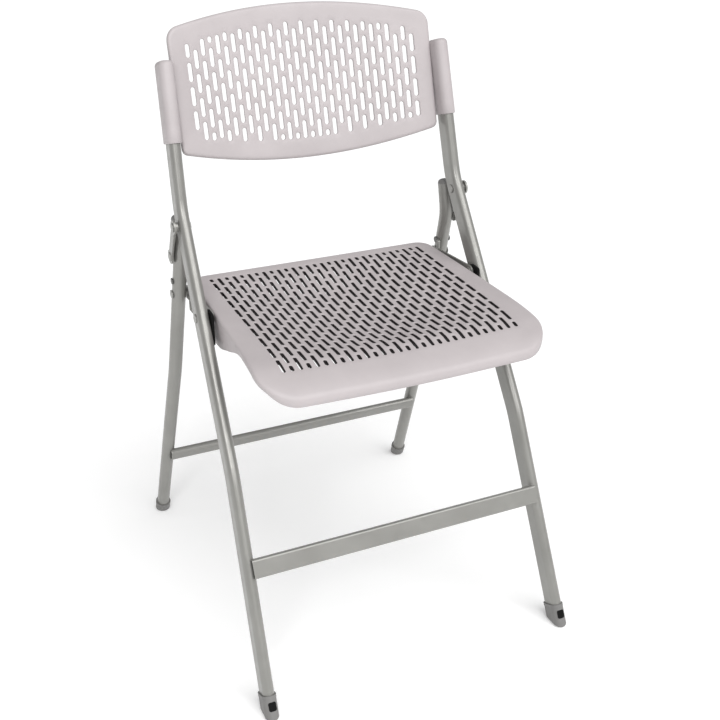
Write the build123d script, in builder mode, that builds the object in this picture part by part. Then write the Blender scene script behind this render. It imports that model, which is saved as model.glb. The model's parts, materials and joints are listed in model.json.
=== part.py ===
from build123d import *
import math
import os

# Steel folding chair with a perforated plastic seat and backrest.
# Millimetres, +Z up, the sitter faces -Y, origin on the floor under the middle of the open chair.
# Every tube axis lies in its own plane, which holds the Y direction and leans inward towards the top.

os.makedirs("parts", exist_ok=True)

SIDES = (("left", -1), ("right", 1))

# Front frame: one stadium tube per side, from the foot up into the backrest sleeve
FRONT_X = 214.7
FRONT_SPLAY = 0.0295
FRONT_FOOT = (-252.0, 0.0)
FRONT_KNEE = (-122.6, 275.1)
FRONT_BEND = (63.2, 561.8)
FRONT_TOP = (110.5, 738.0)
FRONT_RADII = (160.0, 110.0)
FRONT_WIDTH = 15.0
FRONT_DEPTH = 30.0
WALL = 1.5

# Rear legs: one round tube per side, from the foot up to the folding link
REAR_X = 215.0
REAR_SPLAY = 0.0331
REAR_FOOT = (258.0, 0.0)
REAR_KNEE = (134.3, 309.5)
REAR_BEND = (77.8, 506.0)
REAR_TOP = (84.2, 547.5)
REAR_RADII = (200.0, 60.0)
REAR_DIAMETER = 19.0
PLUG_DOME = 6.5
PLUG_EDGE = 6.0
PLUG_DEPTH = 12.0

# Stretchers
FRONT_BAR_Z = 175.5
FRONT_BAR_AHEAD = 14.3
FRONT_BAR_HEIGHT = 25.0
FRONT_BAR_DEPTH = 10.0
FRONT_BAR_EDGE = 3.0
FRONT_BAR_INSET = 3.0
REAR_BAR_Z = 134.5
REAR_BAR_AHEAD = 9.5
REAR_BAR_HEIGHT = 20.0
REAR_BAR_DEPTH = 12.0
REAR_BAR_EDGE = 5.9
REAR_BAR_INSET = 2.0

# Feet
FRONT_CAP_WIDTH = 18.0
FRONT_CAP_DEPTH = 33.0
FRONT_CAP_TOP = 25.0
FRONT_TUBE_START = 12.0
REAR_CAP_DIAMETER = 22.5
REAR_CAP_TOP = 18.0
REAR_TUBE_START = 9.0
CAP_COLLAR = 4.0
CAP_LIP = 0.4
CAP_REACH = 60.0
FRONT_CAP_EDGE = 3.5
REAR_CAP_EDGE = 4.0
PAD_WIDTH = 10.0
PAD_HEIGHT = 12.0
PAD_DEPTH = 1.4
PAD_CORNER = 2.5
PAD_RECESS = 0.4
PAD_DROP = 14.0

# Folding linkage, (y, z) of each pivot; every pivot turns about X
SEAT_PIVOT = (-11.2, 447.0)
LEG_PIVOT = (96.8, 440.0)
LINK_TOP = (54.2, 548.0)
LINK_END = (79.8, 500.0)
STOP = (90.8, 461.0)
PIN_RADIUS = 4.0
PIN_FIT = 0.05
STOP_RADIUS = 3.0
HEAD_RADIUS = 6.0
HEAD = 1.2
HEAD_EDGE = 0.8
GAP = 0.3
BORE = (150.0, 250.0)
# distances from the middle of the plates and of the tubes' faces at each pivot
BRACKET_X = 187.7
PLATE = 2.5
LINK_X = 210.3
SPACER_X = 193.6
SPACER_SIZE = (22.0, 44.0, 4.0)
SPACER_AT = (-19.0, 435.0)
SEAT_PIN_X = 209.3
LEG_RIVET_X = 210.2
STOP_HEADS_X = (187.9, 190.0, 209.5, 211.0)
STOP_HEAD_RADIUS = 4.5
LINK_HEAD_X = 190.7
LINK_SPACER_X = 206.4
LINK_END_X = 208.6
LINK_WAIST = 12.5
LINK_EYE = 9.5
BRACKET_EYES = (8.5, 9.0)
LUG_LENGTH = 24.0
LUG_WIDTH = 7.0
LUG_Z = 451.0

# Backrest: a leaning panel bowed about a vertical axis, with a sleeve at each side
BACK_Y = 114.3
BACK_Z = 745.0
BACK_LEAN = 0.2686
BACK_BOW = 25.0
BACK_HALF = 183.5
BACK_RIM = 8.0
BACK_SKIN = 3.5
BACK_WEB = 2.8
BACK_TOP = 800.0
BACK_TOP_DROP = 19.2
BACK_BOTTOM = 604.5
BACK_BOTTOM_RISE = 27.2
BACK_TOP_CORNER = 17.0
BACK_BOTTOM_CORNER = 8.0
BACK_FIELD_HALF = 165.0
BACK_FIELD_TOP = 777.0
BACK_FIELD_TOP_DROP = 17.0
BACK_FIELD_BOTTOM = 629.0
BACK_FIELD_BOTTOM_RISE = 19.0
BACK_COLUMNS = 30
BACK_PITCH = 10.9
BACK_SLOT = (6.0, 23.0)
BACK_PERIOD = 29.0
POCKET_MARGIN = 3.0
WEB_MARGIN = (3.0, 12.0)
WEB_REACH = 4.5
OVERRUN = 15.0
SLEEVE_WIDTH = 20.0
SLEEVE_DEPTH = 35.0
SLEEVE_Z = (647.0, 745.0)
SLEEVE_EDGE = 5.0
SCREW_Z = 690.0
SCREW_RADIUS = 1.8
SCREW_TIP = 9.0
SCREW_SEAT = 16.2
SCREW_HEAD = 4.2
SCREW_HEAD_DEPTH = 2.2
SCREW_EDGE = 1.0

# Seat: a dished pan with a rim and a skirt
SEAT_REAR = 110.0
SEAT_FRONT = -225.5
SEAT_HALF_FRONT = 194.0
SEAT_HALF_MIDDLE = 187.5
SEAT_HALF_REAR = 180.5
SEAT_FRONT_CORNER = 45.0
SEAT_REAR_CORNER = 22.0
SEAT_FIELD_HALF = 160.0
SEAT_SKIN = 7.0
SEAT_WALL = 4.0
SEAT_FLOOR = 400.0
SEAT_BLOCK = 215.0
SEAT_CUT = 380.0
SEAT_RISE = 80.0
# rim height and dish depth at each station along Y
SEAT_STATIONS = (
    (-235.0, 413.0, 3.5),
    (-190.5, 441.0, 3.0),
    (-146.0, 447.8, 9.5),
    (-101.5, 450.2, 16.0),
    (-57.0, 451.4, 17.5),
    (-12.5, 452.7, 16.0),
    (32.0, 453.7, 11.5),
    (76.5, 454.4, 5.0),
    (121.0, 455.2, 0.5),
)
# lower edge, as (y, z) points, of the seat's side walls and of what lies between them
SIDE_LINE = (
    (-240.0, 402.0),
    (-222.0, 413.0),
    (-200.0, 429.0),
    (-165.0, 440.0),
    (-129.0, 440.0),
    (-75.0, 424.0),
    (-30.0, 409.0),
    (10.0, 406.0),
    (60.0, 418.0),
    (120.0, 438.0),
)
MIDDLE_LINE = (
    (-240.0, 402.0),
    (-222.0, 413.0),
    (-172.0, 424.0),
    (-82.0, 423.0),
    (0.0, 426.0),
    (120.0, 438.0),
)
SIDE_START = 166.0
NOTCH_TOP = 421.0
NOTCH_MARGIN = 1.0
SEAT_FIELD = (-188.0, 92.0)
SEAT_COLUMNS = 30
SEAT_PITCH = 10.8
SEAT_SLOT = (4.5, 25.0)
SEAT_PERIOD = 30.0
BOSS_X = 164.0
BOSS_Y = (18.0, 72.0)
BOSS_RADIUS = 6.0
FLANGE_Z = 418.0
FLANGE_Y = (6.0, 86.0)
FLANGE_WIDTH = 36.0
FLANGE_WEB_TOP = 440.0
SEAT_SCREW_RADIUS = 2.0
SEAT_SCREW_LENGTH = 14.0
SEAT_SCREW_HEAD = (4.5, 2.5)
SEAT_SCREW_EDGE = 1.2
THROUGH = 300.0


def along(lower, upper, z):
    """The (y, z) point at height z on the straight line from lower to upper."""
    share = (z - lower[1]) / (upper[1] - lower[1])
    return (lower[0] + share * (upper[0] - lower[0]), z)


def tube_axis(side, foot_x, splay, points, radii):
    """A tube's axis, drawn in the leaning plane of its side."""
    plane = Plane(origin=(side * foot_x, 0, 0), x_dir=(0, 1, 0), z_dir=(1, 0, side * splay))
    stretch = math.hypot(1, splay)
    with BuildLine(plane) as axis:
        FilletPolyline(*[(y, z * stretch) for y, z in points], radius=radii)
    return axis.line


def front_axis(side):
    """Axis of a front tube, from inside its foot cap to inside the backrest sleeve."""
    start = along(FRONT_FOOT, FRONT_KNEE, FRONT_TUBE_START)
    return tube_axis(side, FRONT_X, FRONT_SPLAY, (start, FRONT_KNEE, FRONT_BEND, FRONT_TOP), FRONT_RADII)


def rear_axis(side):
    """Axis of a rear leg, from inside its foot cap to its top plug."""
    start = along(REAR_FOOT, REAR_KNEE, REAR_TUBE_START)
    return tube_axis(side, REAR_X, REAR_SPLAY, (start, REAR_KNEE, REAR_BEND, REAR_TOP), REAR_RADII)


def section_plane(axis, share):
    """Plane square to the axis at a share of its length, local Y along the depth."""
    return Plane(origin=axis @ share, x_dir=(1, 0, 0), z_dir=axis % share)


def screw_plane(side):
    """Plane on a front tube's axis at the backrest screw, facing square to the tube and rearward."""
    y, z = along(FRONT_BEND, FRONT_TOP, SCREW_Z)
    centre = (side * (FRONT_X - FRONT_SPLAY * z), y, z)
    return Plane(origin=centre, x_dir=(1, 0, 0), z_dir=(0, 1, -BACK_LEAN))


def screw(side, radius, near, far, mode=Mode.ADD):
    """A round bar along the backrest screw's axis, between two depths behind the tube's axis."""
    with BuildSketch(screw_plane(side).offset(near)) as section:
        Circle(radius)
    extrude(section.sketch, amount=far - near, mode=mode)


def sweep_stadium(axis, width, depth, mode):
    """Sweep a filled stadium section along a front tube's axis."""
    with BuildSketch(section_plane(axis, 0)) as section:
        SlotOverall(depth, width, rotation=90)
    sweep(section.sketch, path=axis, mode=mode)


def sweep_round(axis, diameter, mode):
    """Sweep a filled round section along a rear leg's axis."""
    with BuildSketch(section_plane(axis, 0)) as section:
        Circle(diameter / 2)
    sweep(section.sketch, path=axis, mode=mode)


def pin(side, point, radius, inner, outer, mode=Mode.ADD):
    """A round pin along X at a (y, z) point, between two distances from the middle."""
    with BuildSketch(Plane.YZ.offset(side * inner)) as section:
        with Locations(point):
            Circle(radius)
    extrude(section.sketch, amount=side * (outer - inner), mode=mode)


def finish(part, name):
    """Label a finished piece and write its file."""
    part.label = name
    export_step(part, f"parts/{name}.step")


def cross_bar(height, depth, edge, lean, y, z, half):
    """A hollow bar along X, its section turned back by the lean of the legs, in degrees."""
    inner = (depth - 2 * WALL, height - 2 * WALL, edge - WALL)
    with BuildSketch(Plane(origin=(-half, y, z), x_dir=(0, 1, 0), z_dir=(1, 0, 0))) as section:
        RectangleRounded(depth, height, edge, rotation=-lean)
        RectangleRounded(*inner, rotation=-lean, mode=Mode.SUBTRACT)
    extrude(section.sketch, amount=2 * half)


def lean_degrees(lower, upper):
    """Lean of a leg towards +Y, in degrees from vertical."""
    return math.degrees(math.atan2(upper[0] - lower[0], upper[1] - lower[1]))


# ---------------------------------------------------------------- front frame

for name, side in SIDES:
    with BuildPart() as front_tube:
        sweep_stadium(front_axis(side), FRONT_WIDTH, FRONT_DEPTH, Mode.ADD)
        sweep_stadium(front_axis(side), FRONT_WIDTH - 2 * WALL, FRONT_DEPTH - 2 * WALL, Mode.SUBTRACT)
        for pivot in (SEAT_PIVOT, LINK_TOP):
            pin(side, pivot, PIN_RADIUS, *BORE, Mode.SUBTRACT)
        screw(side, SCREW_RADIUS, SCREW_TIP, SLEEVE_DEPTH, Mode.SUBTRACT)
    finish(front_tube.part, f"front_tube_{name}")

with BuildPart() as front_stretcher:
    bar_y = along(FRONT_FOOT, FRONT_KNEE, FRONT_BAR_Z)[0]
    bar_lean = lean_degrees(FRONT_FOOT, FRONT_KNEE)
    ahead = FRONT_BAR_AHEAD / math.cos(math.radians(bar_lean))
    bar_half = FRONT_X - FRONT_SPLAY * FRONT_BAR_Z - FRONT_BAR_INSET
    bar_section = (FRONT_BAR_HEIGHT, FRONT_BAR_DEPTH, FRONT_BAR_EDGE)
    cross_bar(*bar_section, bar_lean, bar_y - ahead, FRONT_BAR_Z, bar_half)
    for name, side in SIDES:
        sweep_stadium(front_axis(side), FRONT_WIDTH, FRONT_DEPTH, Mode.SUBTRACT)
finish(front_stretcher.part, "front_stretcher")


def foot_plane(side, foot_x, splay, foot, knee, top):
    """Plane square to a leg where its foot cap ends, a height above the floor."""
    y, z = along(foot, knee, top)
    direction = (-side * splay, (knee[0] - foot[0]) / (knee[1] - foot[1]), 1)
    return Plane(origin=(side * (foot_x - splay * z), y, z), x_dir=(1, 0, 0), z_dir=direction)


for name, side in SIDES:
    top_plane = foot_plane(side, FRONT_X, FRONT_SPLAY, FRONT_FOOT, FRONT_KNEE, FRONT_CAP_TOP)
    pad_plane = Plane(origin=top_plane.origin, x_dir=(1, 0, 0), z_dir=-top_plane.y_dir)
    with BuildPart() as front_foot:
        with BuildSketch(top_plane):
            SlotOverall(FRONT_CAP_DEPTH, FRONT_CAP_WIDTH, rotation=90)
        extrude(amount=-CAP_REACH)
        with BuildSketch(top_plane):
            SlotOverall(FRONT_CAP_DEPTH + 2 * CAP_LIP, FRONT_CAP_WIDTH + 2 * CAP_LIP, rotation=90)
        extrude(amount=-CAP_COLLAR)
        split(bisect_by=Plane.XY, keep=Keep.TOP)
        fillet(front_foot.faces().sort_by(Axis.Z)[0].edges(), FRONT_CAP_EDGE)
        sweep_stadium(front_axis(side), FRONT_WIDTH, FRONT_DEPTH, Mode.SUBTRACT)
        with BuildSketch(pad_plane.offset(FRONT_CAP_DEPTH / 2 - PAD_DEPTH)):
            with Locations((0, -PAD_DROP)):
                RectangleRounded(PAD_WIDTH, PAD_HEIGHT, PAD_CORNER)
        extrude(amount=2 * PAD_DEPTH, mode=Mode.SUBTRACT)
    finish(front_foot.part, f"front_foot_{name}")
    with BuildPart() as front_foot_pad:
        with BuildSketch(pad_plane.offset(FRONT_CAP_DEPTH / 2 - PAD_DEPTH)):
            with Locations((0, -PAD_DROP)):
                RectangleRounded(PAD_WIDTH, PAD_HEIGHT, PAD_CORNER)
        extrude(amount=PAD_DEPTH - PAD_RECESS)
    finish(front_foot_pad.part, f"front_foot_pad_{name}")

# ---------------------------------------------------------------- rear frame

for name, side in SIDES:
    axis = rear_axis(side)
    with BuildPart() as rear_leg:
        sweep_round(axis, REAR_DIAMETER, Mode.ADD)
        sweep_round(axis, REAR_DIAMETER - 2 * WALL, Mode.SUBTRACT)
        pin(side, LEG_PIVOT, PIN_RADIUS, *BORE, Mode.SUBTRACT)
        pin(side, STOP, STOP_RADIUS, *BORE, Mode.SUBTRACT)
    finish(rear_leg.part, f"rear_leg_{name}")

    with BuildPart() as rear_leg_cap:
        with BuildSketch(section_plane(axis, 1)):
            Circle(REAR_DIAMETER / 2)
        extrude(amount=PLUG_DOME)
        fillet(rear_leg_cap.faces().sort_by(Axis.Z)[-1].edges(), PLUG_EDGE)
        with BuildSketch(section_plane(axis, 1)):
            Circle(REAR_DIAMETER / 2 - WALL)
        extrude(amount=-PLUG_DEPTH)
    finish(rear_leg_cap.part, f"rear_leg_cap_{name}")

    cap_plane = foot_plane(side, REAR_X, REAR_SPLAY, REAR_FOOT, REAR_KNEE, REAR_CAP_TOP)
    with BuildPart() as rear_foot:
        with BuildSketch(cap_plane):
            Circle(REAR_CAP_DIAMETER / 2)
        extrude(amount=-CAP_REACH)
        split(bisect_by=Plane.XY, keep=Keep.TOP)
        fillet(rear_foot.faces().sort_by(Axis.Z)[0].edges(), REAR_CAP_EDGE)
        with BuildSketch(cap_plane):
            Circle(REAR_CAP_DIAMETER / 2 + CAP_LIP)
        extrude(amount=-CAP_COLLAR)
        sweep_round(axis, REAR_DIAMETER, Mode.SUBTRACT)
    finish(rear_foot.part, f"rear_foot_{name}")

    with BuildPart() as rear_pivot_rivet:
        pin(side, LEG_PIVOT, HEAD_RADIUS, BRACKET_X - GAP - HEAD, BRACKET_X - GAP)
        pin(side, LEG_PIVOT, PIN_RADIUS, BRACKET_X - GAP, LEG_RIVET_X)
        pin(side, LEG_PIVOT, HEAD_RADIUS, LEG_RIVET_X, LEG_RIVET_X + HEAD)
        fillet(rear_pivot_rivet.faces().sort_by(Axis.X)[0].edges(), HEAD_EDGE)
        fillet(rear_pivot_rivet.faces().sort_by(Axis.X)[-1].edges(), HEAD_EDGE)
    finish(rear_pivot_rivet.part, f"rear_pivot_rivet_{name}")

    with BuildPart() as stop_rivet:
        pin(side, STOP, STOP_HEAD_RADIUS, STOP_HEADS_X[0], STOP_HEADS_X[1])
        pin(side, STOP, STOP_RADIUS, STOP_HEADS_X[1], STOP_HEADS_X[2])
        pin(side, STOP, STOP_HEAD_RADIUS, STOP_HEADS_X[2], STOP_HEADS_X[3])
        fillet(stop_rivet.faces().sort_by(Axis.X)[0].edges(), HEAD_EDGE)
        fillet(stop_rivet.faces().sort_by(Axis.X)[-1].edges(), HEAD_EDGE)
    finish(stop_rivet.part, f"stop_rivet_{name}")

with BuildPart() as rear_stretcher:
    bar_y = along(REAR_FOOT, REAR_KNEE, REAR_BAR_Z)[0]
    bar_lean = lean_degrees(REAR_FOOT, REAR_KNEE)
    ahead = REAR_BAR_AHEAD / math.cos(math.radians(bar_lean))
    bar_half = REAR_X - REAR_SPLAY * REAR_BAR_Z - REAR_BAR_INSET
    bar_section = (REAR_BAR_HEIGHT, REAR_BAR_DEPTH, REAR_BAR_EDGE)
    cross_bar(*bar_section, bar_lean, bar_y - ahead, REAR_BAR_Z, bar_half)
    for name, side in SIDES:
        sweep_round(rear_axis(side), REAR_DIAMETER, Mode.SUBTRACT)
finish(rear_stretcher.part, "rear_stretcher")

# ---------------------------------------------------------------- linkage

link_run = (LINK_END[0] - LINK_TOP[0], LINK_END[1] - LINK_TOP[1])
link_angle = math.degrees(math.atan2(link_run[1], link_run[0]))
link_centre = (LINK_TOP[0] + link_run[0] / 2, LINK_TOP[1] + link_run[1] / 2, 0)
link_middle = Location(link_centre, (0, 0, link_angle))

for name, side in SIDES:
    with BuildPart() as seat_pivot_pin:
        pin(side, SEAT_PIVOT, HEAD_RADIUS, BRACKET_X - GAP - HEAD, BRACKET_X - GAP)
        pin(side, SEAT_PIVOT, PIN_RADIUS, BRACKET_X - GAP, SEAT_PIN_X)
        pin(side, SEAT_PIVOT, HEAD_RADIUS, SEAT_PIN_X, SEAT_PIN_X + HEAD)
        fillet(seat_pivot_pin.faces().sort_by(Axis.X)[0].edges(), HEAD_EDGE)
        fillet(seat_pivot_pin.faces().sort_by(Axis.X)[-1].edges(), HEAD_EDGE)
    finish(seat_pivot_pin.part, f"seat_pivot_pin_{name}")

    with BuildPart() as seat_pivot_spacer:
        with BuildSketch(Plane.YZ.offset(side * (BRACKET_X + PLATE + GAP))):
            with Locations(SPACER_AT):
                RectangleRounded(*SPACER_SIZE)
        extrude(amount=side * (SPACER_X - BRACKET_X - PLATE - GAP))
        pin(side, SEAT_PIVOT, PIN_RADIUS, *BORE, Mode.SUBTRACT)
    finish(seat_pivot_spacer.part, f"seat_pivot_spacer_{name}")

    with BuildPart() as link_front_rivet:
        pin(side, LINK_TOP, HEAD_RADIUS, LINK_HEAD_X - HEAD, LINK_HEAD_X)
        pin(side, LINK_TOP, PIN_RADIUS, LINK_HEAD_X, LINK_X + PLATE + GAP)
        pin(side, LINK_TOP, HEAD_RADIUS, LINK_SPACER_X, LINK_X - GAP)
        pin(side, LINK_TOP, HEAD_RADIUS, LINK_X + PLATE + GAP, LINK_X + PLATE + GAP + HEAD)
        fillet(link_front_rivet.faces().sort_by(Axis.X)[0].edges(), HEAD_EDGE)
        fillet(link_front_rivet.faces().sort_by(Axis.X)[-1].edges(), HEAD_EDGE)
    finish(link_front_rivet.part, f"link_front_rivet_{name}")

    with BuildPart() as hinge_link:
        with BuildSketch(Plane.YZ.offset(side * LINK_X)):
            with Locations(LINK_TOP, LINK_END):
                Circle(LINK_EYE)
            with Locations(link_middle):
                SlotCenterToCenter(math.hypot(*link_run), LINK_WAIST)
        extrude(amount=side * PLATE)
        pin(side, LINK_TOP, PIN_RADIUS + PIN_FIT, *BORE, Mode.SUBTRACT)
        pin(side, LINK_END, PIN_RADIUS, *BORE, Mode.SUBTRACT)
    finish(hinge_link.part, f"hinge_link_{name}")

    with BuildPart() as link_rear_rivet:
        pin(side, LINK_END, PIN_RADIUS, LINK_END_X, LINK_X + PLATE)
        pin(side, LINK_END, HEAD_RADIUS, LINK_X + PLATE, LINK_X + PLATE + HEAD)
        fillet(link_rear_rivet.faces().sort_by(Axis.X)[0 if side < 0 else -1].edges(), HEAD_EDGE)
    finish(link_rear_rivet.part, f"link_rear_rivet_{name}")

    with BuildPart() as seat_bracket:
        with BuildSketch(Plane.YZ.offset(side * BRACKET_X)):
            for pivot, eye in zip((SEAT_PIVOT, LEG_PIVOT), BRACKET_EYES):
                with Locations(pivot):
                    Circle(eye)
            make_hull()
            with Locations((sum(FLANGE_Y) / 2, (FLANGE_Z + FLANGE_WEB_TOP) / 2)):
                Rectangle(FLANGE_Y[1] - FLANGE_Y[0], FLANGE_WEB_TOP - FLANGE_Z)
            with Locations((STOP[0] - STOP_HEAD_RADIUS - GAP - LUG_WIDTH / 2, LUG_Z)):
                SlotOverall(LUG_LENGTH, LUG_WIDTH, rotation=90)
        extrude(amount=side * PLATE)
        with BuildSketch(Plane.XY.offset(FLANGE_Z)):
            with Locations((side * (BRACKET_X + PLATE - FLANGE_WIDTH / 2), sum(FLANGE_Y) / 2)):
                Rectangle(FLANGE_WIDTH, FLANGE_Y[1] - FLANGE_Y[0])
        extrude(amount=PLATE)
        pin(side, SEAT_PIVOT, PIN_RADIUS + PIN_FIT, *BORE, Mode.SUBTRACT)
        pin(side, LEG_PIVOT, PIN_RADIUS + PIN_FIT, *BORE, Mode.SUBTRACT)
        with BuildSketch(Plane.XY.offset(FLANGE_Z)):
            with Locations(*[(side * BOSS_X, y) for y in BOSS_Y]):
                Circle(SEAT_SCREW_RADIUS)
        extrude(amount=PLATE, mode=Mode.SUBTRACT)
    finish(seat_bracket.part, f"seat_bracket_{name}")

    for place, screw_y in zip(("front", "rear"), BOSS_Y):
        with BuildPart() as seat_screw:
            with BuildSketch(Plane.XY.offset(FLANGE_Z - SEAT_SCREW_HEAD[1])):
                with Locations((side * BOSS_X, screw_y)):
                    Circle(SEAT_SCREW_HEAD[0])
            extrude(amount=SEAT_SCREW_HEAD[1])
            fillet(seat_screw.faces().sort_by(Axis.Z)[0].edges(), SEAT_SCREW_EDGE)
            with BuildSketch(Plane.XY.offset(FLANGE_Z)):
                with Locations((side * BOSS_X, screw_y)):
                    Circle(SEAT_SCREW_RADIUS)
            extrude(amount=SEAT_SCREW_LENGTH)
        finish(seat_screw.part, f"seat_screw_{place}_{name}")

# ---------------------------------------------------------------- backrest


def bowed_band(half, near, far, low, high, mode=Mode.ADD):
    """A band bowed about the leaning direction, between two depths behind the front face."""
    foot = (0, BACK_Y + (low - BACK_Z) * BACK_LEAN, low)
    base = Plane(origin=foot, x_dir=(1, 0, 0), z_dir=(0, BACK_LEAN, 1))
    bow = BACK_BOW / math.hypot(BACK_LEAN, 1)
    edge = bow * (1 - (half / BACK_HALF) ** 2)
    with BuildSketch(base) as section:
        with BuildLine():
            front = ThreePointArc((-half, edge + near), (0, bow + near), (half, edge + near))
            rear = ThreePointArc((half, edge + far), (0, bow + far), (-half, edge + far))
            Line(front @ 1, rear @ 0)
            Line(rear @ 1, front @ 0)
        make_face()
    extrude(section.sketch, amount=(high - low) * math.hypot(BACK_LEAN, 1), mode=mode)


def arched_face(half, top, top_drop, bottom, bottom_rise):
    """A face between an arched top and an arched bottom, with straight sides."""
    with BuildLine() as edge:
        upper = ThreePointArc((-half, top - top_drop), (0, top), (half, top - top_drop))
        lower = ThreePointArc((half, bottom + bottom_rise), (0, bottom), (-half, bottom + bottom_rise))
        Line(upper @ 1, lower @ 0)
        Line(lower @ 1, upper @ 0)
    make_face(edge.edges())


def slot_runs(base, low, high, length, period):
    """Start and end of each slot of one column, cut short where the field ends."""
    first = math.floor((low - base) / period)
    last = math.ceil((high - base) / period)
    starts = [base + period * step for step in range(first, last)]
    return [(max(start, low), min(start + length, high)) for start in starts]


field_half = BACK_FIELD_HALF + POCKET_MARGIN
field_top = BACK_FIELD_TOP + POCKET_MARGIN
field_bottom = BACK_FIELD_BOTTOM - POCKET_MARGIN
with BuildPart() as back_pocket:
    bowed_band(field_half, BACK_SKIN, 2 * BACK_RIM, BACK_BOTTOM, BACK_TOP + OVERRUN)
    with BuildSketch(Plane.XZ):
        arched_face(field_half, field_top, BACK_FIELD_TOP_DROP, field_bottom, BACK_FIELD_BOTTOM_RISE)
    extrude(amount=THROUGH, both=True, mode=Mode.INTERSECT)

with BuildPart() as sleeves:
    for name, side in SIDES:
        axis = front_axis(side)
        rise = (SLEEVE_Z[1] - FRONT_TOP[1]) * math.hypot(BACK_LEAN, 1)
        drop = (SLEEVE_Z[1] - SLEEVE_Z[0]) * math.hypot(BACK_LEAN, 1)
        sleeve_top = Plane(origin=axis @ 1, x_dir=(1, 0, 0), z_dir=axis % 1).offset(rise)
        with BuildSketch(sleeve_top) as sleeve:
            SlotOverall(SLEEVE_DEPTH, SLEEVE_WIDTH, rotation=90)
        extrude(amount=-drop)
    fillet(sleeves.faces().sort_by(Axis.Z)[-2:].edges(), SLEEVE_EDGE)

with BuildPart() as back_slots:
    with BuildSketch(Plane.XZ) as slots:
        for column in range(BACK_COLUMNS):
            x = (column - (BACK_COLUMNS - 1) / 2) * BACK_PITCH
            share = (x / BACK_FIELD_HALF) ** 2
            low = BACK_FIELD_BOTTOM + BACK_FIELD_BOTTOM_RISE * share
            high = BACK_FIELD_TOP - BACK_FIELD_TOP_DROP * share
            phase = (column % 2) * BACK_PERIOD / 2
            for start, end in slot_runs(BACK_FIELD_BOTTOM + phase, low, high, BACK_SLOT[1], BACK_PERIOD):
                if end - start > BACK_SLOT[0] + 1:
                    with Locations((x, (start + end) / 2)):
                        SlotOverall(end - start, BACK_SLOT[0], rotation=90)
    extrude(amount=THROUGH, both=True)

with BuildPart() as backrest:
    bowed_band(BACK_HALF + OVERRUN / 3, 0, BACK_RIM, BACK_BOTTOM - OVERRUN / 3, BACK_TOP + OVERRUN)
    with BuildSketch(Plane.XZ) as outline:
        arched_face(BACK_HALF, BACK_TOP, BACK_TOP_DROP, BACK_BOTTOM, BACK_BOTTOM_RISE)
        fillet(outline.vertices().group_by(Axis.Y)[-1], BACK_TOP_CORNER)
        fillet(outline.vertices().group_by(Axis.Y)[0], BACK_BOTTOM_CORNER)
    extrude(amount=THROUGH, both=True, mode=Mode.INTERSECT)
    web_low = SLEEVE_Z[0] + WEB_MARGIN[0]
    web_high = SLEEVE_Z[1] - WEB_MARGIN[1]
    bowed_band(BACK_HALF + WEB_REACH, BACK_WEB, BACK_RIM, web_low, web_high)
    add(back_pocket.part, mode=Mode.SUBTRACT)
    add(sleeves.part)
    add(back_slots.part, mode=Mode.SUBTRACT)
    for name, side in SIDES:
        sweep_stadium(front_axis(side), FRONT_WIDTH, FRONT_DEPTH, Mode.SUBTRACT)
        screw(side, SCREW_RADIUS, SCREW_TIP, SLEEVE_DEPTH, Mode.SUBTRACT)
        screw(side, SCREW_HEAD + GAP, SCREW_SEAT, SLEEVE_DEPTH, Mode.SUBTRACT)
finish(backrest.part, "backrest")

for name, side in SIDES:
    with BuildPart() as back_screw:
        screw(side, SCREW_RADIUS, SCREW_TIP, SCREW_SEAT)
        screw(side, SCREW_HEAD, SCREW_SEAT, SCREW_SEAT + SCREW_HEAD_DEPTH)
        fillet(back_screw.faces().sort_by(Axis.Y)[-1].edges(), SCREW_EDGE)
    finish(back_screw.part, f"back_screw_{name}")

# ---------------------------------------------------------------- seat


def dished_block(drop):
    """A block whose top is the dished seat surface, lowered by a drop."""
    sections = []
    for y, rim, dish in SEAT_STATIONS:
        with BuildSketch(Plane.XZ.offset(-y)) as section:
            with BuildLine():
                rise = rim - drop
                bowl = ThreePointArc((-SEAT_FIELD_HALF, rise), (0, rise - dish), (SEAT_FIELD_HALF, rise))
                Polyline(bowl @ 1, (SEAT_BLOCK, rise), (SEAT_BLOCK, SEAT_FLOOR), (-SEAT_BLOCK, SEAT_FLOOR),
                         (-SEAT_BLOCK, rise), bowl @ 0)
            make_face()
        sections.append(section.sketch)
    loft(sections)


def plan_face(inset):
    """The seat's plan outline, moved inward by an inset."""
    front = SEAT_FRONT + inset
    rear = SEAT_REAR - inset
    middle = (SEAT_FRONT + SEAT_REAR) / 2
    with BuildLine() as edge:
        right = ThreePointArc((SEAT_HALF_FRONT - inset, front), (SEAT_HALF_MIDDLE - inset, middle),
                              (SEAT_HALF_REAR - inset, rear))
        left = ThreePointArc((-SEAT_HALF_REAR + inset, rear), (-SEAT_HALF_MIDDLE + inset, middle),
                             (-SEAT_HALF_FRONT + inset, front))
        Line(right @ 1, left @ 0)
        Line(left @ 1, right @ 0)
    make_face(edge.edges())


def below_line(line, start, reach):
    """Cut away what lies below a lower edge, from a distance along X over a reach."""
    first, last = line[0], line[-1]
    with BuildSketch(Plane.YZ.offset(start)) as section:
        with BuildLine():
            Spline(*line)
            Line(last, (last[0], SEAT_CUT))
            Line((last[0], SEAT_CUT), (first[0], SEAT_CUT))
            Line((first[0], SEAT_CUT), first)
        make_face()
    extrude(section.sketch, amount=reach, mode=Mode.SUBTRACT)


def flange_notch(side):
    """Cut one side wall away where the bracket's flange passes through it."""
    with BuildSketch(Plane.YZ.offset(side * SIDE_START)) as section:
        with Locations((sum(FLANGE_Y) / 2, (SEAT_CUT + NOTCH_TOP) / 2)):
            Rectangle(FLANGE_Y[1] - FLANGE_Y[0] + 2 * NOTCH_MARGIN, NOTCH_TOP - SEAT_CUT)
    extrude(section.sketch, amount=side * SEAT_RISE, mode=Mode.SUBTRACT)


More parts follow.
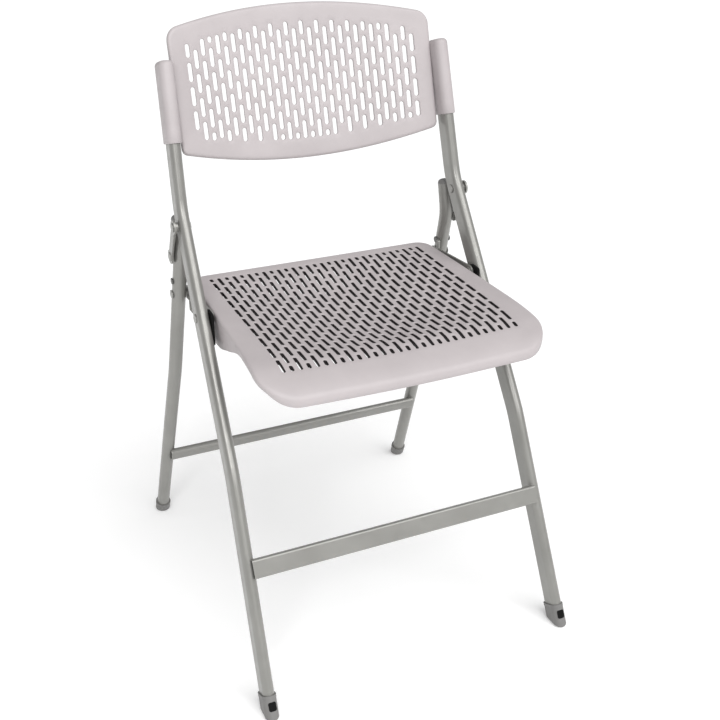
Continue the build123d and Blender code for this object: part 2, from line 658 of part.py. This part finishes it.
with BuildPart() as seat_slots:
    with BuildSketch(Plane.XY.offset(SEAT_FLOOR)):
        for column in range(SEAT_COLUMNS):
            x = (column - (SEAT_COLUMNS - 1) / 2) * SEAT_PITCH
            phase = (column % 2) * SEAT_PERIOD / 2
            for start, end in slot_runs(SEAT_FIELD[0] + phase, *SEAT_FIELD, SEAT_SLOT[1], SEAT_PERIOD):
                if end - start > SEAT_SLOT[0] + 1:
                    with Locations((x, (start + end) / 2)):
                        SlotOverall(end - start, SEAT_SLOT[0], rotation=90)
    extrude(amount=SEAT_RISE)

with BuildPart() as seat_hollow:
    dished_block(SEAT_SKIN)
    with BuildSketch(Plane.XY.offset(SEAT_FLOOR)) as inner_plan:
        plan_face(SEAT_WALL)
        fillet(inner_plan.vertices().group_by(Axis.Y)[0], SEAT_FRONT_CORNER - SEAT_WALL)
        fillet(inner_plan.vertices().group_by(Axis.Y)[-1], SEAT_REAR_CORNER - SEAT_WALL)
    extrude(amount=SEAT_RISE, mode=Mode.INTERSECT)

with BuildPart() as seat_bosses:
    dished_block(SEAT_SKIN - 1)
    with BuildSketch(Plane.XY.offset(FLANGE_Z + PLATE)) as boss_plan:
        with Locations(*[(side * BOSS_X, y) for name, side in SIDES for y in BOSS_Y]):
            Circle(BOSS_RADIUS)
    extrude(boss_plan.sketch, amount=SEAT_RISE, mode=Mode.INTERSECT)

with BuildPart() as seat:
    dished_block(0)
    with BuildSketch(Plane.XY.offset(SEAT_FLOOR)) as plan:
        plan_face(0)
        fillet(plan.vertices().group_by(Axis.Y)[0], SEAT_FRONT_CORNER)
        fillet(plan.vertices().group_by(Axis.Y)[-1], SEAT_REAR_CORNER)
    extrude(amount=SEAT_RISE, mode=Mode.INTERSECT)
    add(seat_hollow.part, mode=Mode.SUBTRACT)
    below_line(MIDDLE_LINE, -SIDE_START, 2 * SIDE_START)
    for name, side in SIDES:
        below_line(SIDE_LINE, side * SIDE_START, side * SEAT_RISE)
        flange_notch(side)
    add(seat_bosses.part)
    with BuildSketch(Plane.XY.offset(FLANGE_Z)):
        with Locations(*[(side * BOSS_X, y) for name, side in SIDES for y in BOSS_Y]):
            Circle(SEAT_SCREW_RADIUS)
    extrude(amount=SEAT_SCREW_LENGTH, mode=Mode.SUBTRACT)
    add(seat_slots.part, mode=Mode.SUBTRACT)
finish(seat.part, "seat")
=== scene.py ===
"""Folding chair with a perforated plastic seat and backrest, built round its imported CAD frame.

Lengths are in metres in the CAD frame: +Z up, the sitter faces -Y, the floor is z = 0.
"""
import json
import math

import bmesh
import bpy
from mathutils import Matrix, Vector
from mathutils.geometry import delaunay_2d_cdt


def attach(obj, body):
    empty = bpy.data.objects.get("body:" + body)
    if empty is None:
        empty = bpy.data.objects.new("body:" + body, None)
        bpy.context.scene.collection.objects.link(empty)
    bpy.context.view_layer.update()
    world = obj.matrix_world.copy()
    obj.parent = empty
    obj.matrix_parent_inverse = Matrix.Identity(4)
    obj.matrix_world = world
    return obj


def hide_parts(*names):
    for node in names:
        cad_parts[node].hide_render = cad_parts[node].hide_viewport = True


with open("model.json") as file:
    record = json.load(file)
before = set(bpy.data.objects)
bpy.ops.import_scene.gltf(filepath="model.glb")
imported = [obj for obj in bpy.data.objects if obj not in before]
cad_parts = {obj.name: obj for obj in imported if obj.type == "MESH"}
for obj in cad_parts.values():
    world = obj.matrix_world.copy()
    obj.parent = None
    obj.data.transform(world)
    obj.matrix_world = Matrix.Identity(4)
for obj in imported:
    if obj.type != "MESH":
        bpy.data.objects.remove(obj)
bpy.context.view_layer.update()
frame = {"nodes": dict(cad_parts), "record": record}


# ---------------------------------------------------------------- camera, floor and light

CAMERA_AT = Vector((-0.5381, -1.2332, 0.9986))
CAMERA_RIGHT = Vector((0.9097, -0.4153, 0.0))
CAMERA_UP = Vector((0.1808, 0.3960, 0.9003))
CAMERA_LENS = 53.87
CAMERA_SHIFT_Y = -0.006

FLOOR_REACH = 12.0
FLOOR_COLOUR = (0.93, 0.93, 0.93, 1)
FLOOR_ROUGHNESS = 0.9
FLOOR_GLOSS = 0.1
FLOOR_GLOW = 0.16
WORLD_STRENGTH = 0.42
OVERHEAD_FROM = Vector((0.2, -0.85, 1.0))
OVERHEAD_ENERGY = 2.45
OVERHEAD_ANGLE = 60
STRIP_AT = Vector((-1.5, -2.2, 1.9))
STRIP_TARGET = Vector((0, 0, 0.45))
STRIP_SIZE = 0.8
STRIP_POWER = 20


def make_camera():
    """The camera for the rest view."""
    right = CAMERA_RIGHT.normalized()
    back = right.cross(CAMERA_UP.normalized()).normalized()
    up = back.cross(right)
    data = bpy.data.cameras.new("camera")
    data.lens = CAMERA_LENS
    data.shift_y = CAMERA_SHIFT_Y
    camera = bpy.data.objects.new("camera", data)
    camera.matrix_world = Matrix.Translation(CAMERA_AT) @ Matrix((right, up, back)).transposed().to_4x4()
    bpy.context.collection.objects.link(camera)
    bpy.context.scene.camera = camera


def make_floor():
    """A wide pale floor under the chair."""
    mesh = bpy.data.meshes.new("floor")
    reach = FLOOR_REACH
    corners = [(-reach, -reach, 0), (reach, -reach, 0), (reach, reach, 0), (-reach, reach, 0)]
    mesh.from_pydata(corners, [], [(0, 1, 2, 3)])
    floor = bpy.data.objects.new("floor", mesh)
    bpy.context.collection.objects.link(floor)
    material, shader = new_material("floor_white")
    shader.inputs["Base Color"].default_value = FLOOR_COLOUR
    shader.inputs["Roughness"].default_value = FLOOR_ROUGHNESS
    shader.inputs["Specular IOR Level"].default_value = FLOOR_GLOSS
    shader.inputs["Emission Color"].default_value = (1, 1, 1, 1)
    shader.inputs["Emission Strength"].default_value = FLOOR_GLOW
    mesh.materials.append(material)


def make_world():
    """An even pale surrounding, shown with plain colours."""
    world = bpy.data.worlds.new("studio")
    world.use_nodes = True
    background = world.node_tree.nodes["Background"]
    background.inputs["Color"].default_value = (1.0, 1.0, 1.0, 1)
    background.inputs["Strength"].default_value = WORLD_STRENGTH
    bpy.context.scene.world = world
    bpy.context.scene.view_settings.view_transform = "Standard"


def make_lights():
    """A wide soft light from the front and above, and a small one at the left."""
    overhead = bpy.data.lights.new("overhead", "SUN")
    overhead.energy = OVERHEAD_ENERGY
    overhead.angle = math.radians(OVERHEAD_ANGLE)
    strip = bpy.data.lights.new("strip", "AREA")
    strip.size = STRIP_SIZE
    strip.energy = STRIP_POWER
    strip_from = STRIP_AT - STRIP_TARGET
    for data, place, away in ((overhead, Vector(), OVERHEAD_FROM), (strip, STRIP_AT, strip_from)):
        light = bpy.data.objects.new(data.name, data)
        light.location = place
        light.rotation_euler = away.to_track_quat("Z", "Y").to_euler()
        bpy.context.collection.objects.link(light)


# ---------------------------------------------------------------- materials

RAMP_START = 0.3
RAMP_END = 0.7
NOISE_DETAIL = 4.0
NOISE_ROUGHNESS = 0.5
MOTTLE_SCALE = 14.0
WEAR_SCALE = 84.0
GRAIN_DETAIL = 3.0
GRAIN_HEIGHT = 0.0002
COAT_ROUGHNESS = 0.25


def new_material(name):
    """A node material and its Principled shader."""
    material = bpy.data.materials.new(name)
    material.use_nodes = True
    return material, material.node_tree.nodes["Principled BSDF"]


def add_node(material, kind, **sockets):
    """A node with its input sockets set by name."""
    node = material.node_tree.nodes.new(kind)
    for socket, value in sockets.items():
        node.inputs[socket.replace("_", " ")].default_value = value
    return node


def noise(material, scale, detail=NOISE_DETAIL):
    """Noise in object coordinates, in cells per metre."""
    coords = add_node(material, "ShaderNodeTexCoord")
    node = add_node(material, "ShaderNodeTexNoise", Scale=scale, Detail=detail, Roughness=NOISE_ROUGHNESS)
    material.node_tree.links.new(coords.outputs["Object"], node.inputs["Vector"])
    return node


def ramp(material, source, low, high):
    """A colour ramp between two colours, driven by a noise."""
    node = material.node_tree.nodes.new("ShaderNodeValToRGB")
    node.color_ramp.elements[0].position = RAMP_START
    node.color_ramp.elements[0].color = (*low, 1)
    node.color_ramp.elements[1].position = RAMP_END
    node.color_ramp.elements[1].color = (*high, 1)
    material.node_tree.links.new(source.outputs["Fac"], node.inputs["Fac"])
    return node


def surface(name, colours, roughness, grain, bump, metallic=0.0, coat=0.0, gloss=0.5):
    """A material with a mottled colour, an uneven roughness and a fine bump.

    colours and roughness each give a low and a high value, and grain is the bump's scale.
    """
    material, shader = new_material(name)
    links = material.node_tree.links
    colour = ramp(material, noise(material, MOTTLE_SCALE), *colours)
    links.new(colour.outputs["Color"], shader.inputs["Base Color"])
    rough = ramp(material, noise(material, WEAR_SCALE), *[(value,) * 3 for value in roughness])
    links.new(rough.outputs["Color"], shader.inputs["Roughness"])
    height = noise(material, grain, GRAIN_DETAIL)
    relief = add_node(material, "ShaderNodeBump", Strength=bump, Distance=GRAIN_HEIGHT)
    links.new(height.outputs["Fac"], relief.inputs["Height"])
    links.new(relief.outputs["Normal"], shader.inputs["Normal"])
    shader.inputs["Metallic"].default_value = metallic
    shader.inputs["Specular IOR Level"].default_value = gloss
    shader.inputs["Coat Weight"].default_value = coat
    shader.inputs["Coat Roughness"].default_value = COAT_ROUGHNESS
    return material


def make_materials():
    """One material for each slot of the record, and a near-black painted shade for the seat's slot walls and
    underside.
    """
    return {
        "seat_plastic": surface(
            "moulded_plastic", ((0.42, 0.385, 0.39), (0.47, 0.432, 0.437)), (0.40, 0.52), 2600, 0.35),
        # near-black painted shade: it darkens the seat's slot walls and underside as the shadow inside them
        # would
        "painted_shade_plastic": surface(
            "painted_shade_material", ((0.016, 0.013, 0.014), (0.03, 0.026, 0.027)), (0.7, 0.85), 2600, 0.35,
            gloss=0.2),
        "frame_paint": surface(
            "powder_coat", ((0.25, 0.247, 0.232), (0.29, 0.287, 0.27)), (0.30, 0.42), 1800, 0.25,
            metallic=0.45, coat=0.25),
        "foot_plastic": surface(
            "foot_plastic", ((0.15, 0.147, 0.143), (0.20, 0.196, 0.192)), (0.4, 0.55), 2200, 0.4),
        "pad_rubber": surface(
            "black_rubber", ((0.004, 0.004, 0.004), (0.008, 0.008, 0.008)), (0.8, 0.95), 1500, 0.5,
            gloss=0.15),
        "fastener_steel": surface(
            "dark_zinc", ((0.10, 0.10, 0.095), (0.16, 0.16, 0.155)), (0.3, 0.45), 1200, 0.3,
            metallic=0.8),
    }


def dress_nodes(materials):
    """Give every CAD node the material of its slot."""
    slots = {row["node"]: row["material_slot"] for row in frame["record"]["subparts"]}
    for name, node in frame["nodes"].items():
        for material_slot in node.material_slots:
            material_slot.material = materials[slots[name]]
        if not node.material_slots:
            node.data.materials.append(materials[slots[name]])


# ---------------------------------------------------------------- outlines

OUTLINE_STEP = 0.001
CORNER_PROBE = 3
NORMAL_PROBE = 2
SLOT_ARC_POINTS = 7
GRID_MARGIN = 0.55
GRID_RISE = 0.866


def arc_points(centre, radius, start, end, count):
    """Points on an arc, angles in degrees, both ends included."""
    angles = [math.radians(start + (end - start) * step / (count - 1)) for step in range(count)]
    return [Vector((centre[0] + radius * math.cos(a), centre[1] + radius * math.sin(a))) for a in angles]


def rounded_outline(corners, radii, sides, spacing):
    """A closed outline with filleted corners. sides gives how far each side bows outward."""
    points = []
    marks = []
    count = len(corners)
    for index in range(count):
        marks.append(len(points))
        start, end = Vector(corners[index]), Vector(corners[(index + 1) % count])
        run = end - start
        outward = Vector((run.y, -run.x)).normalized()
        steps = max(2, int(run.length / OUTLINE_STEP))
        for step in range(steps):
            share = step / steps
            points.append(start + run * share + outward * sides[index] * 4 * share * (1 - share))
    total = len(points)
    for mark, radius in zip(marks, radii):
        before, after = points[(mark - CORNER_PROBE) % total], points[(mark + CORNER_PROBE) % total]
        corner = points[mark].copy()
        inward_a = (before - corner).normalized()
        inward_b = (after - corner).normalized()
        half = inward_a.angle(inward_b) / 2
        tangent = radius / math.tan(half)
        centre = corner + (inward_a + inward_b).normalized() * radius / math.sin(half)
        reach = int(tangent / OUTLINE_STEP)
        for offset in range(-reach, reach + 1):
            point = points[(mark + offset) % total]
            points[(mark + offset) % total] = centre + (point - centre).normalized() * radius
    return resample(points, spacing)


def resample(points, spacing):
    """The closed outline with its points evenly spaced."""
    lengths = [0.0]
    for index, point in enumerate(points):
        lengths.append(lengths[-1] + (points[(index + 1) % len(points)] - point).length)
    count = int(round(lengths[-1] / spacing))
    result = []
    index = 0
    for step in range(count):
        target = lengths[-1] * step / count
        while lengths[index + 1] < target:
            index += 1
        share = (target - lengths[index]) / max(1e-9, lengths[index + 1] - lengths[index])
        result.append(points[index].lerp(points[(index + 1) % len(points)], share))
    return result


def outward_normals(points):
    """Outward unit normals of a closed anticlockwise outline."""
    count = len(points)
    runs = [points[(index + NORMAL_PROBE) % count] - points[index - NORMAL_PROBE] for index in range(count)]
    return [Vector((run.y, -run.x)).normalized() for run in runs]


def slot_ring(slot, grow):
    """An anticlockwise stadium round a slot (x, low, high, width), grown by a distance."""
    x, low, high, width = slot
    radius = width / 2
    upper = arc_points((x, high - radius), radius + grow, 0, 180, SLOT_ARC_POINTS)
    lower = arc_points((x, low + radius), radius + grow, 180, 360, SLOT_ARC_POINTS)
    middle = (low + high) / 2
    return upper + [Vector((x - radius - grow, middle))] + lower + [Vector((x + radius + grow, middle))]


def inside(outline, point):
    """Whether a point lies inside a closed outline."""
    result = False
    last = outline[-1]
    for corner in outline:
        if (corner.y > point.y) != (last.y > point.y):
            if point.x < (last.x - corner.x) * (point.y - corner.y) / (last.y - corner.y) + corner.x:
                result = not result
        last = corner
    return result


def filling_points(outline, slots, spacing):
    """A staggered grid inside the outline and clear of the slots."""
    margin = spacing * GRID_MARGIN
    xs = [point.x for point in outline]
    ys = [point.y for point in outline]
    by_column = {}
    for x, low, high, width in slots:
        by_column.setdefault(round(x, 5), []).append((low, high, width))
    result = []
    row = 0
    y = min(ys) + margin
    while y < max(ys):
        x = min(xs) + margin + (row % 2) * spacing / 2
        while x < max(xs):
            point = Vector((x, y))
            blocked = False
            for column, holes in by_column.items():
                reach = abs(column - x) - holes[0][2] / 2
                if reach < margin and any(low - margin < y < high + margin for low, high, width in holes):
                    blocked = True
                    break
            if not blocked and inside(outline, point):
                result.append(point)
            x += spacing
        y += spacing * GRID_RISE
        row += 1
    return result


# ---------------------------------------------------------------- perforated shells

INNER_GAP = 0.6
SOFT_SHARE = 0.3
MERGE_WITHIN = 1e-7
SLOT_SPARE = 0.001


def bridge(bm, first, second, material=0):
    """A band of faces between two closed rings of vertices."""
    count = len(first)
    for index in range(count):
        following = (index + 1) % count
        band = bm.faces.new((first[index], first[following], second[following], second[index]))
        band.material_index = material


def perforated_shell(name, outline, slots, place, thickness, soften, edge, spacing, painted_shade_index=0):
    """A thin moulded shell with slots, rounded slot edges and a rounded, turned-down edge.

    place(x, y, depth) gives a point of the shell. edge lists (inset, depth) pairs from the top to the
    inside of the turned-down edge, where a depth may be a function of the outline's point. The slot
    walls and the underside get the material at the index given last, a painted shade that darkens them
    as the shadow inside the slots would.
    """
    normals = outward_normals(outline)
    start_inset = edge[0][0]
    rim = [point - normal * start_inset for point, normal in zip(outline, normals)]
    inner = [point - normal * (start_inset + spacing * INNER_GAP) for point, normal in zip(outline, normals)]
    rings = [slot_ring(slot, soften) for slot in slots]
    flat = list(rim)
    loops = [list(range(len(rim)))]
    for ring in rings:
        loops.append(list(range(len(flat), len(flat) + len(ring))))
        flat.extend(ring)
    flat.extend(filling_points(inner, slots, spacing))
    points, _, faces, sources, _, owners = delaunay_2d_cdt(flat, [], loops, 1, MERGE_WITHIN, True)
    index_of = {source: index for index, group in enumerate(sources) for source in group}
    kept = [face for face, owner in zip(faces, owners) if owner == [0]]

    bm = bmesh.new()
    top = [bm.verts.new(place(point.x, point.y, 0.0)) for point in points]
    under = [bm.verts.new(place(point.x, point.y, thickness)) for point in points]
    # the underside gets the painted shade material
    for face in kept:
        bm.faces.new([top[index] for index in face])
        bm.faces.new([under[index] for index in reversed(face)]).material_index = painted_shade_index
    # below their soft rounding the slot walls get the painted shade material
    for slot, loop in zip(slots, loops[1:]):
        last = [top[index_of[index]] for index in loop]
        first_step = SOFT_SHARE * soften
        for grow, depth in ((first_step, first_step), (0.0, soften), (0.0, thickness - soften)):
            ring = [bm.verts.new(place(point.x, point.y, depth)) for point in slot_ring(slot, grow)]
            bridge(bm, last, ring, painted_shade_index if depth > soften else 0)
            last = ring
        bridge(bm, last, [under[index_of[index]] for index in loop], painted_shade_index)
    last = [top[index_of[index]] for index in loops[0]]
    for inset, depth in edge[1:]:
        ring = []
        for point, normal in zip(outline, normals):
            spot = point - normal * inset
            below = depth(point) if callable(depth) else depth
            ring.append(bm.verts.new(place(spot.x, spot.y, below)))
        bridge(bm, last, ring)
        last = ring
    bridge(bm, last, [under[index_of[index]] for index in loops[0]])
    used = {vert for face in bm.faces for vert in face.verts}
    bmesh.ops.delete(bm, geom=[vert for vert in bm.verts if vert not in used], context="VERTS")
    return finish_mesh(name, bm)


def finish_mesh(name, bm):
    """A smooth object from a bmesh."""
    bmesh.ops.recalc_face_normals(bm, faces=bm.faces)
    for face in bm.faces:
        face.smooth = True
    mesh = bpy.data.meshes.new(name)
    bm.to_mesh(mesh)
    bm.free()
    piece = bpy.data.objects.new(name, mesh)
    bpy.context.collection.objects.link(piece)
    return piece


def quarter_round(radius, depth, steps):
    """(inset, depth) pairs of a rounded edge, from the top to the side."""
    angles = [math.pi / 2 * step / steps for step in range(steps + 1)]
    return [(radius * (1 - math.sin(angle)), depth * (1 - math.cos(angle))) for angle in angles]


def smooth_line(points, at):
    """A monotone curve through (place, value) pairs."""
    if at <= points[0][0]:
        return points[0][1]
    if at >= points[-1][0]:
        return points[-1][1]
    slopes = [(b[1] - a[1]) / (b[0] - a[0]) for a, b in zip(points, points[1:])]
    middle = [0.0 if a * b <= 0 else 2 * a * b / (a + b) for a, b in zip(slopes, slopes[1:])]
    tangents = [slopes[0]] + middle + [slopes[-1]]
    for index in range(len(points) - 1):
        (x0, y0), (x1, y1) = points[index], points[index + 1]
        if at <= x1:
            break
    run = x1 - x0
    t = (at - x0) / run
    return ((2 * t ** 3 - 3 * t ** 2 + 1) * y0 + (t ** 3 - 2 * t ** 2 + t) * run * tangents[index]
            + (3 * t ** 2 - 2 * t ** 3) * y1 + (t ** 3 - t ** 2) * run * tangents[index + 1])


def column_slots(columns, pitch, width, length, period, low_at, high_at, base):
    """Staggered columns of slots (x, low, high, width), cut short where the field ends."""
    slots = []
    for column in range(columns):
        x = (column - (columns - 1) / 2) * pitch
        low, high = low_at(x), high_at(x)
        start = base + (column % 2) * period / 2
        start -= period * math.ceil((start - low) / period)
        while start < high:
            first, last = max(start, low), min(start + length, high)
            if last - first > width + SLOT_SPARE:
                slots.append((x, first, last, width))
            start += period
    return slots


# ---------------------------------------------------------------- backrest

BACK_Y = 0.1143
BACK_Z = 0.745
BACK_LEAN = 0.2686
BACK_BOW = 0.025
BACK_HALF = 0.1835
BACK_DEEP = Vector((0, 1, -BACK_LEAN)).normalized()
BACK_CORNERS = ((-BACK_HALF, 0.6317), (BACK_HALF, 0.6317), (BACK_HALF, 0.7808), (-BACK_HALF, 0.7808))
BACK_RADII = (0.009, 0.009, 0.018, 0.018)
BACK_BULGES = (0.0272, 0, 0.0192, 0)
BACK_SPACING = 0.004
BACK_GRID = 0.006
BACK_THICK = 0.0035
BACK_SOFTEN = 0.0007
BACK_TURN = ((0.0, 0.0072), (0.0008, 0.008), (0.0024, 0.008), (0.003, 0.0074), (0.0032, 0.0036))
BACK_SLOTS = (30, 0.0109, 0.006, 0.023, 0.029)
BACK_FIELD = (0.629, 0.777)
BACK_FIELD_HALF = 0.165
BACK_FIELD_RISE = 0.019
BACK_FIELD_DROP = 0.017

SLEEVE_LOW = 0.647
SLEEVE_HIGH = 0.745
SLEEVE_WIDTH = 0.020
SLEEVE_DEPTH = 0.035
SLEEVE_ROUND = 0.006
SLEEVE_CAP_INSET = 0.0078
SLEEVE_MOUTH = ((0.03, 0.0024), (0.0008, 0.0024), (0.0, 0.0016), (0.0, 0.0008), (0.0008, 0.0))
SLEEVE_STEPS = 6
TUBE_X = 0.2147
TUBE_SPLAY = 0.0295
TUBE_BEND = (0.0632, 0.5618)
TUBE_TOP = (0.1105, 0.738)


def back_place(x, z, depth):
    """A point of the backrest, at a depth behind its front face."""
    bow = BACK_BOW * (1 - (x / BACK_HALF) ** 2)
    return Vector((x, BACK_Y + (z - BACK_Z) * BACK_LEAN + bow, z)) + BACK_DEEP * depth


def back_low(x):
    """The lower end of the backrest's slot field at a distance from its middle."""
    return BACK_FIELD[0] + BACK_FIELD_RISE * (x / BACK_FIELD_HALF) ** 2


def back_high(x):
    """The upper end of the backrest's slot field at a distance from its middle."""
    return BACK_FIELD[1] - BACK_FIELD_DROP * (x / BACK_FIELD_HALF) ** 2


def make_backrest(materials):
    """The bowed perforated panel and the two sleeves on the front tubes."""
    outline = rounded_outline(BACK_CORNERS, BACK_RADII, BACK_BULGES, BACK_SPACING)
    slots = column_slots(*BACK_SLOTS, back_low, back_high, BACK_FIELD[0])
    edge = quarter_round(0.005, 0.004, 4) + list(BACK_TURN)
    panel = perforated_shell(
        "backrest_panel", outline, slots, back_place, BACK_THICK, BACK_SOFTEN, edge, BACK_GRID)
    panel.data.materials.append(materials["seat_plastic"])
    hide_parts("backrest")
    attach(panel, "front_frame")
    for name, side in (("left", -1), ("right", 1)):
        sleeve = make_sleeve(f"backrest_sleeve_{name}", side)
        sleeve.data.materials.append(materials["seat_plastic"])
        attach(sleeve, "front_frame")


def stadium_ring(width, depth, inset, count=14):
    """An anticlockwise stadium section, long in depth."""
    radius = width / 2 - inset
    straight = (depth - width) / 2
    rear = arc_points((0, straight), radius, 0, 180, count)
    front = arc_points((0, -straight), radius, 180, 360, count)
    return rear + front


def make_sleeve(name, side):
    """A closed-topped sleeve round the top of a front tube."""
    axis = Vector((-side * TUBE_SPLAY, BACK_LEAN, 1)).normalized()
    across = Vector((0, 1, -BACK_LEAN)).normalized()
    sideways = across.cross(axis).normalized()
    bm = bmesh.new()

    def ring_at(z, inset):
        share = (z - TUBE_BEND[1]) / (TUBE_TOP[1] - TUBE_BEND[1])
        y = TUBE_BEND[0] + share * (TUBE_TOP[0] - TUBE_BEND[0])
        centre = Vector((side * (TUBE_X - TUBE_SPLAY * z), y, z))
        return [bm.verts.new(centre + sideways * point.x + across * point.y)
                for point in stadium_ring(SLEEVE_WIDTH, SLEEVE_DEPTH, inset)]

    rings = [ring_at(SLEEVE_LOW + rise, inset) for rise, inset in SLEEVE_MOUTH]
    straight = SLEEVE_HIGH - SLEEVE_LOW - SLEEVE_ROUND
    for step in range(1, SLEEVE_STEPS + 1):
        rings.append(ring_at(SLEEVE_LOW + straight * step / SLEEVE_STEPS, 0.0))
    for inset, drop in quarter_round(SLEEVE_ROUND, SLEEVE_ROUND, 5)[::-1][1:]:
        rings.append(ring_at(SLEEVE_HIGH - drop, inset))
    rings.append(ring_at(SLEEVE_HIGH, SLEEVE_CAP_INSET))
    for first, second in zip(rings, rings[1:]):
        bridge(bm, first, second)
    bm.faces.new(rings[-1])
    bm.faces.new(rings[0][::-1])
    return finish_mesh(name, bm)


# ---------------------------------------------------------------- seat

SEAT_THICK = 0.007
SEAT_CORNERS = ((-0.194, -0.2255), (0.194, -0.2255), (0.1805, 0.110), (-0.1805, 0.110))
SEAT_RADII = (0.045, 0.045, 0.022, 0.022)
SEAT_BULGES = (0.0, 0.0002, 0.0, 0.0002)
SEAT_SPACING = 0.004
SEAT_GRID = 0.006
SEAT_SOFTEN = 0.0006
SEAT_SLOTS = (30, 0.0108, 0.0045, 0.025, 0.030)
SEAT_FIELD = (-0.188, 0.092)
SEAT_DISH_HALF = 0.170
SEAT_DISH_POWER = 1.4
SKIRT_EDGE = ((0.0, 0.0015), (0.0006, 0.0004), (0.0016, 0.0), (0.0028, 0.0006), (0.0032, 0.003))
SKIRT_END = (0.0034, SEAT_THICK + 0.0001)
SKIRT_LEAST = SEAT_THICK + 0.0002
SEAT_RIM = ((-0.235, 0.413), (-0.222, 0.4255), (-0.202, 0.436), (-0.172, 0.445), (-0.132, 0.449),
            (-0.072, 0.451), (0.0, 0.453), (0.110, 0.455))
SEAT_DISH = ((-0.235, 0.003), (-0.202, 0.0035), (-0.172, 0.0045), (-0.142, 0.0105), (-0.102, 0.016),
             (-0.052, 0.0175), (0.008, 0.0155), (0.048, 0.0095), (0.080, 0.003), (0.110, 0.0))
SEAT_SKIRT = ((-0.235, 0.4055), (-0.222, 0.413), (-0.200, 0.429), (-0.165, 0.440), (-0.129, 0.440),
              (-0.075, 0.424), (-0.030, 0.410), (-0.006, 0.4080), (0.004, 0.4215), (0.088, 0.4290),
              (0.110, 0.4345))


def seat_place(x, y, depth):
    """A point of the seat, at a depth below its top."""
    share = min(1.0, abs(x) / SEAT_DISH_HALF)
    dish = smooth_line(SEAT_DISH, y) * (1 - share ** 2) ** SEAT_DISH_POWER
    return Vector((x, y, smooth_line(SEAT_RIM, y) - dish - depth))


def skirt_depth(raise_by):
    """Depth of the skirt's bottom below the seat's top, less an amount, and never above the underside."""
    return lambda point: max(
        SKIRT_LEAST, smooth_line(SEAT_RIM, point.y) - smooth_line(SEAT_SKIRT, point.y) - raise_by)


def make_seat(materials):
    """The dished perforated seat with its rounded lip and skirt, its slot walls and underside in painted
    shade.
    """
    outline = rounded_outline(SEAT_CORNERS, SEAT_RADII, SEAT_BULGES, SEAT_SPACING)
    slots = column_slots(*SEAT_SLOTS, lambda x: SEAT_FIELD[0], lambda x: SEAT_FIELD[1], SEAT_FIELD[0])
    edge = quarter_round(0.0045, 0.0035, 4)
    edge += [(inset, skirt_depth(raise_by)) for inset, raise_by in SKIRT_EDGE] + [SKIRT_END]
    # the last argument is the index of the painted shade that darkens the slot walls and underside
    seat = perforated_shell(
        "seat_pan", outline, slots, seat_place, SEAT_THICK, SEAT_SOFTEN, edge, SEAT_GRID, 1)
    seat.data.materials.append(materials["seat_plastic"])
    # near-black painted shade for the slot walls and underside
    seat.data.materials.append(materials["painted_shade_plastic"])
    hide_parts("seat")
    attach(seat, "seat")


# ---------------------------------------------------------------- assembly

make_camera()
make_floor()
make_world()
make_lights()
all_materials = make_materials()
dress_nodes(all_materials)
make_backrest(all_materials)
make_seat(all_materials)
